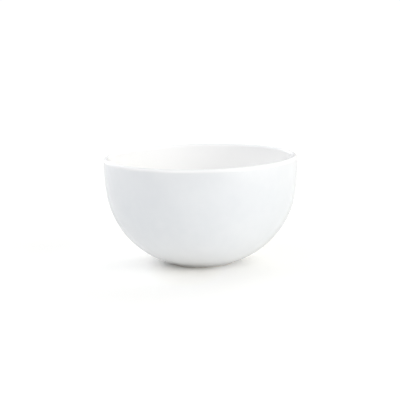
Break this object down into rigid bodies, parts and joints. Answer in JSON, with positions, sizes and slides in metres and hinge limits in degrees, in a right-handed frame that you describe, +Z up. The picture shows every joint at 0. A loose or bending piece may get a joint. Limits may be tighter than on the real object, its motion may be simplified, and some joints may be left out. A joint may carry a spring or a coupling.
{
  "type": "latte bowl",
  "caption": "Round handleless latte bowl of white glazed porcelain with a rounded lip, a full belly and a low bare foot ring, for drinks held in both hands.",
  "frame": {"origin": "centre of the circle that the foot ring stands on, on the table", "axes": "+Z up along the bowl's axis; X and Y are alike, because the bowl is round"},
  "size_m": [0.14, 0.14, 0.0775],
  "materials": {
    "clay": "fired white porcelain under the glaze",
    "bare_foot": "bare fired clay, rubbed smooth, matt",
    "glaze": "clear glossy white glaze"
  },
  "bodies": {
    "root": {"bowl_body": "clay", "foot_ring": "bare_foot", "outside_glaze": "glaze", "inside_glaze": "glaze", "foot_well_glaze": "glaze"}
  },
  "joints": []
}
